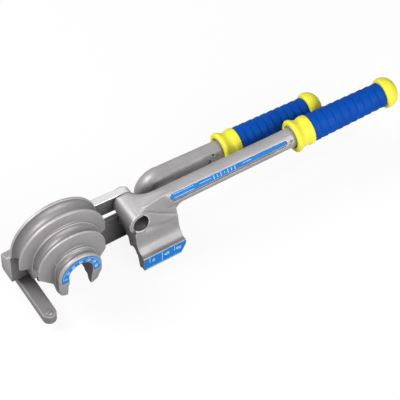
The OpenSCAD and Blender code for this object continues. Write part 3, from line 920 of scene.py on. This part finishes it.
class TUBEBENDER_OT_grips(bpy.types.Operator):
    """Turns the collars, ribbed sleeves and domed caps of both grips"""

    bl_idname = "tubebender.grips"
    bl_label = "Grips"

    bore = 8.05 * MM

    def collar_profile(self, length):
        """Flared lip with a hollow round the bar, a waist, and a band beside the sleeve."""
        seat, hollow, band, edge_r, edge = 5 * MM, 10.6 * MM, 13.2 * MM, 12.7 * MM, 0.5 * MM
        lip = [
            (0.4, 10.6), (0.0, 11.4), (0.1, 13.3), (1.0, 14.6), (2.6, 14.9), (4.4, 14.2),
            (6.4, 12.9), (9.0, 12.1), (11.2, 12.3), (12.8, 13.0), (14.0, 13.2),
        ]
        outer = [(u * MM, r * MM) for u, r in lip] + [(length - edge, band), (length, edge_r)]
        inner = [(seat, self.bore), (seat, hollow)]
        return inner + rounded_profile(outer) + [(length, self.bore)]

    def sleeve_profile(self, length, ribs, depth):
        """Tapered tube whose ribs swell towards the cap and drop sharply."""
        wide, narrow, steps = 12.6 * MM, 11.2 * MM, 12
        drop, swell_curve, drop_curve = 0.17, 1.6, 2
        outer = []
        for i in range(ribs * steps + 1):
            share = i / (ribs * steps)
            place = (i % steps) / steps
            if place < 1 - drop:
                fall = (1 - place / (1 - drop)) ** swell_curve
            else:
                fall = ((place - 1 + drop) / drop) ** drop_curve
            outer.append((share * length, wide + (narrow - wide) * share - depth * fall))
        return [(0.0, self.bore)] + outer + [(length, self.bore)]

    def cap_profile(self, length):
        """Mushroom cap: a rim that stands over the sleeve, and a dome."""
        tip = 3.2 * MM
        shape = [
            (0.0, 9.0), (0.0, 12.0), (0.5, 13.2), (2.2, 13.75), (5.0, 13.75), (7.7, 13.1),
            (10.2, 11.7), (12.4, 9.4), (14.0, 6.5),
        ]
        outer = [(u * MM, r * MM) for u, r in shape] + [(length, tip), (length, 0.0)]
        return [(0.0, 0.0)] + rounded_profile(outer)

    def execute(self, context):
        grip = context.scene.bender_grip
        yellow = grained_finish(
            "yellow grip plastic", grip.cap, dark=0.93, grain=1600.0, mottle=70.0,
            rough=(0.36, 0.48), bump=0.1, depth=0.00004, gloss=0.3,
        )
        # The sleeve has painted shade in its rib notches
        blue = grained_finish(
            "blue sleeve vinyl", grip.sleeve, dark=0.78, grain=1500.0, mottle=110.0,
            rough=(0.5, 0.64), bump=0.35, depth=0.00012, gloss=0.1, recess=0.004,
        )
        for bar in BARS:
            body = BARS[bar]["body"]
            for part, finish, slot in (
                ("collar", yellow, "yellow_grip"),
                ("sleeve", blue, "blue_grip"),
                ("cap", yellow, "yellow_grip"),
            ):
                node = f"{bar}_{part}"
                low, high = reach_along(node, bar)
                length = high - low
                if part == "collar":
                    profile = self.collar_profile(length)
                elif part == "sleeve":
                    profile = self.sleeve_profile(length, grip.ribs, grip.rib_depth)
                else:
                    profile = self.cap_profile(length)
                mesh = lathe_mesh(node + ".turned", bar, low, profile, closed_end=part == "cap")
                add_piece(node + ".turned", mesh, finish, body, slot, node)
        return {"FINISHED"}


class TUBEBENDER_OT_labels(bpy.types.Operator):
    """Finishes the three labels and sets degree marks and index lines on them"""

    bl_idname = "tubebender.labels"
    bl_label = "Labels"

    # How far the print stands off a label, and a quarter turn from flat to upright
    proud = 0.05 * MM
    upright = Matrix.Rotation(math.radians(90), 4, "X")

    def execute(self, context):
        colours = context.scene.bender_label
        ground = grained_finish(
            "blue label film", colours.ground, dark=0.88, grain=2500.0, mottle=160.0,
            rough=(0.3, 0.42), bump=0.05, depth=0.00002, gloss=0.2,
        )
        marks = grained_finish(
            "pale label print", colours.print, dark=0.85, grain=2500.0, mottle=300.0,
            rough=(0.35, 0.45), bump=0.03, depth=0.00002, gloss=0.2,
        )
        for node in ("scale_label", "shoe_label", "handle_label"):
            dress(node, ground)
        self.degree_scale(marks)
        self.shoe_lines(marks)
        self.handle_lines(marks)
        return {"FINISHED"}

    def degree_scale(self, marks):
        """Ticks and plain numbers from 0 to 180 round the arch."""
        low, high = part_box("scale_label")
        face, outer = low.y, high.z
        half_turn, fine, coarse = 180, 5, 30
        band, number_rise, number_size = 6.1 * MM, 2.1 * MM, 3.6 * MM
        long, short, margin, half = 2.2 * MM, 1.5 * MM, 0.25 * MM, 0.2 * MM
        inner = outer - band

        def on_face(x, z, rise):
            return Vector((x, face - rise, z))

        ticks = []
        for degrees in range(0, half_turn + 1, fine):
            a = math.radians(degrees)
            reach = long if degrees % coarse == 0 else short
            r1, r0 = outer - margin, outer - reach
            along = Vector((math.cos(a), math.sin(a)))
            across = Vector((-math.sin(a), math.cos(a)))
            corners = (along * r0 - across * half, along * r1 - across * half,
                       along * r1 + across * half, along * r0 + across * half)
            ticks.append([tuple(c) for c in corners])
        mesh = prism_mesh("scale_ticks", ticks, self.proud, on_face)
        add_piece("scale_ticks", mesh, marks, "former", "label")
        words = []
        ring = inner + number_rise
        for degrees in range(0, half_turn + 1, coarse):
            a = math.radians(degrees)
            spot = Vector((math.cos(a) * ring, face - self.proud / 2, math.sin(a) * ring))
            turn = self.upright @ Matrix.Rotation(a - math.pi / 2, 4, "Z")
            words.append((str(half_turn - degrees), Matrix.Translation(spot) @ turn))
        mesh = number_mesh(words, number_size, self.proud)
        add_piece("scale_numbers", mesh, marks, "former", "label")

    def shoe_lines(self, marks):
        """Index lines and plain numbers on the shoe's front."""
        low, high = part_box("shoe_label")
        width, height = high.x - low.x, high.z - low.z
        half, margin, number_size, number_height = 0.3 * MM, 0.6 * MM, 5.2 * MM, 0.62
        base0, base1, base_start, base_end = 1.0 * MM, 1.4 * MM, 1.0 * MM, width * 0.85

        def on_face(x, z, rise):
            return Vector((low.x + x, low.y - rise, low.z + z))

        lines = []
        for share, depth in ((0.12, 0.45), (0.42, 0.8), (0.72, 0.45)):
            x, top = share * width, height - margin
            bottom = top - depth * height
            lines.append([(x - half, bottom), (x + half, bottom), (x + half, top), (x - half, top)])
        lines.append([
            (base_start, base0), (base_end, base0), (base_end, base1), (base_start, base1),
        ])
        mesh = prism_mesh("shoe_index_lines", lines, self.proud, on_face)
        add_piece("shoe_index_lines", mesh, marks, "shoe", "label")
        words = []
        for share, text in ((0.21, "0"), (0.53, "45"), (0.82, "90")):
            spot = on_face(share * width, number_height * height, self.proud / 2)
            words.append((text, Matrix.Translation(spot) @ self.upright))
        mesh = number_mesh(words, number_size, self.proud)
        add_piece("shoe_numbers", mesh, marks, "shoe", "label")

    def handle_lines(self, marks):
        """Thin pale lines along the handle label, and short marks at their middle."""
        first, last, edge, on_face = handle_label_face()
        inset, thick = 0.8 * MM, 0.45 * MM
        # Shares of the label's length: the two edge lines, then the row of strokes
        edge0, edge1 = 0.03, 0.2
        row, pitch, stroke = 0.37, 0.03, 0.006

        def band(share0, share1, w0, w1, width):
            u0, u1 = first + (last - first) * share0, first + (last - first) * share1
            return [(u0, w0), (u1, w1), (u1, w1 + width), (u0, w0 + width)]

        lines = []
        for which, sign in ((0, 1), (1, -1)):
            w0, w1 = edge(edge0, which) + sign * inset, edge(edge1, which) + sign * inset
            lines.append(band(edge0, edge1, w0, w1, sign * thick))
        for i, tall in enumerate((3.6, 2.6, 3.6, 1.6, 3.6, 2.6, 3.6)):
            share = row + pitch * i
            foot = (edge(share, 0) + edge(share, 1)) / 2 - tall * MM / 2
            lines.append(band(share, share + stroke, foot, foot, tall * MM))
        for share, length in ((0.25, 0.1), (0.62, 0.08)):
            middle = (edge(share, 0) + edge(share, 1)) / 2
            lines.append(band(share, share + length, middle, middle, thick))
        mesh = prism_mesh("handle_lines", lines, self.proud, on_face)
        add_piece("handle_lines", mesh, marks, "shoe", "label")


class TUBEBENDER_OT_stage(bpy.types.Operator):
    """Makes the pale floor, the soft light and the camera"""

    bl_idname = "tubebender.stage"
    bl_label = "Stage"

    # The camera's place and its three axes
    eye = (-0.53261, -1.09689, 1.70038)
    right = (0.85088, -0.52536, 0.0)
    up = (0.42374, 0.68630, 0.59113)
    back = (-0.31056, -0.50298, 0.80658)
    sensor, clip = 36, (0.05, 20)
    # Each lamp's place and width, and what the lamps are aimed at
    key_at, key_size = (-0.68, 0.52, 1.0), 0.8
    fill_at, fill_size = (0.35, -1.1, 0.74), 1.3
    aim_at = (0.08, -0.01, 0.0)
    white = (1, 1, 1, 1)
    # The floor's half width, its gap below the tool, its grey, its glow and how much of that shows
    floor_half, floor_gap, floor_grey, floor_glow, glow_share = 4.0, 0.2 * MM, 0.55, 1.06, 0.85

    def execute(self, context):
        scene, made = context.scene, context.scene.bender_stage
        scene.view_settings.view_transform = "Standard"
        self.camera(scene, made)
        self.lamp("key", self.key_at, self.key_size, made.key)
        self.lamp("fill", self.fill_at, self.fill_size, made.fill)
        self.floor()
        self.world(scene, made)
        return {"FINISHED"}

    def camera(self, scene, made):
        """The camera of the photo's view."""
        lens = bpy.data.cameras.new("camera")
        lens.lens, lens.sensor_width = made.lens, self.sensor
        lens.clip_start, lens.clip_end = self.clip
        camera = bpy.data.objects.new("camera", lens)
        turn = Matrix((self.right, self.up, self.back)).transposed().to_4x4()
        camera.matrix_world = Matrix.Translation(self.eye) @ turn
        scene.collection.objects.link(camera)
        scene.camera = camera

    def lamp(self, name, place, size, power):
        """A round soft lamp that looks at the tool."""
        light = bpy.data.lights.new(name, "AREA")
        light.shape, light.size, light.energy = "DISK", size, power
        lamp = bpy.data.objects.new(name, light)
        aim = Vector(self.aim_at) - Vector(place)
        turn = aim.to_track_quat("-Z", "Y").to_matrix().to_4x4()
        lamp.matrix_world = Matrix.Translation(place) @ turn
        bpy.context.scene.collection.objects.link(lamp)

    def mix_shaders(self, tree, factor, first, second, output):
        """Mixes two shaders by a factor socket into an output node of the given kind."""
        mix = tree.nodes.new("ShaderNodeMixShader")
        for slot, socket in enumerate((factor, first.outputs[0], second.outputs[0])):
            tree.links.new(socket, mix.inputs[slot])
        tree.links.new(mix.outputs[0], tree.nodes.new(output).inputs["Surface"])

    def floor(self):
        """A matt floor just below the tool that glows white to the camera."""
        mesh = bpy.data.meshes.new("floor")
        half, z = self.floor_half, CAD_BOX[0].z - self.floor_gap
        corners = [(-half, -half, z), (half, -half, z), (half, half, z), (-half, half, z)]
        mesh.from_pydata(corners, [], [(0, 1, 2, 3)])
        floor = bpy.data.objects.new("floor", mesh)
        bpy.context.scene.collection.objects.link(floor)
        material = bpy.data.materials.new("pale floor")
        material.use_nodes = True
        tree = material.node_tree
        tree.nodes.clear()
        matt = add_node(
            tree, "ShaderNodeBsdfDiffuse", inputs={"Color": four([self.floor_grey] * 3)}
        )
        glow = add_node(
            tree, "ShaderNodeEmission", inputs={"Color": self.white, "Strength": self.floor_glow}
        )
        seen = tree.nodes.new("ShaderNodeLightPath").outputs["Is Camera Ray"]
        shown = calculate(tree, "MULTIPLY", seen, self.glow_share)
        self.mix_shaders(tree, shown, matt, glow, "ShaderNodeOutputMaterial")
        mesh.materials.append(material)

    def world(self, scene, made):
        """Weak light from all round, plain white to the camera, in reflections and through glass."""
        world = bpy.data.worlds.new("studio")
        world.use_nodes = True
        tree = world.node_tree
        tree.nodes.clear()
        soft, plain = (
            add_node(tree, "ShaderNodeBackground", inputs={"Color": self.white, "Strength": power})
            for power in (made.ambient, 1.0)
        )
        path = tree.nodes.new("ShaderNodeLightPath").outputs
        shown = calculate(tree, "MAXIMUM", path["Is Camera Ray"], path["Is Glossy Ray"])
        shown = calculate(tree, "MAXIMUM", shown, path["Is Transmission Ray"])
        self.mix_shaders(tree, shown, soft, plain, "ShaderNodeOutputWorld")
        scene.world = world


OPERATORS = (
    TUBEBENDER_OT_castings,
    TUBEBENDER_OT_link,
    TUBEBENDER_OT_pins,
    TUBEBENDER_OT_latch,
    TUBEBENDER_OT_grips,
    TUBEBENDER_OT_labels,
    TUBEBENDER_OT_stage,
)


class TUBEBENDER_PT_panel(bpy.types.Panel):
    """Lists the settings and the making steps"""

    bl_idname = "TUBEBENDER_PT_panel"
    bl_label = "Tube Bender"
    bl_space_type = "VIEW_3D"
    bl_region_type = "UI"
    bl_category = "Tube Bender"

    def draw(self, context):
        for name in SETTINGS:
            box = self.layout.box()
            group = getattr(context.scene, name)
            for field in group.bl_rna.properties:
                if field.identifier not in {"rna_type", "name"}:
                    box.prop(group, field.identifier)
        for operator in OPERATORS:
            self.layout.operator(operator.bl_idname)


SETTINGS = {
    "bender_casting": CastingSettings,
    "bender_steel": SteelSettings,
    "bender_grip": GripSettings,
    "bender_label": LabelSettings,
    "bender_stage": StageSettings,
}
CLASSES = (*SETTINGS.values(), *OPERATORS, TUBEBENDER_PT_panel)


def register():
    """Adds the classes and their settings to Blender."""
    for item in CLASSES:
        bpy.utils.register_class(item)
    for name, group in SETTINGS.items():
        setattr(bpy.types.Scene, name, PointerProperty(type=group))


def unregister():
    """Takes them out again."""
    for name in SETTINGS:
        delattr(bpy.types.Scene, name)
    for item in reversed(CLASSES):
        bpy.utils.unregister_class(item)


def main():
    """Runs every step in order."""
    register()
    for operator in OPERATORS:
        family, step = operator.bl_idname.split(".")
        getattr(getattr(bpy.ops, family), step)()


if __name__ == "__main__":
    main()
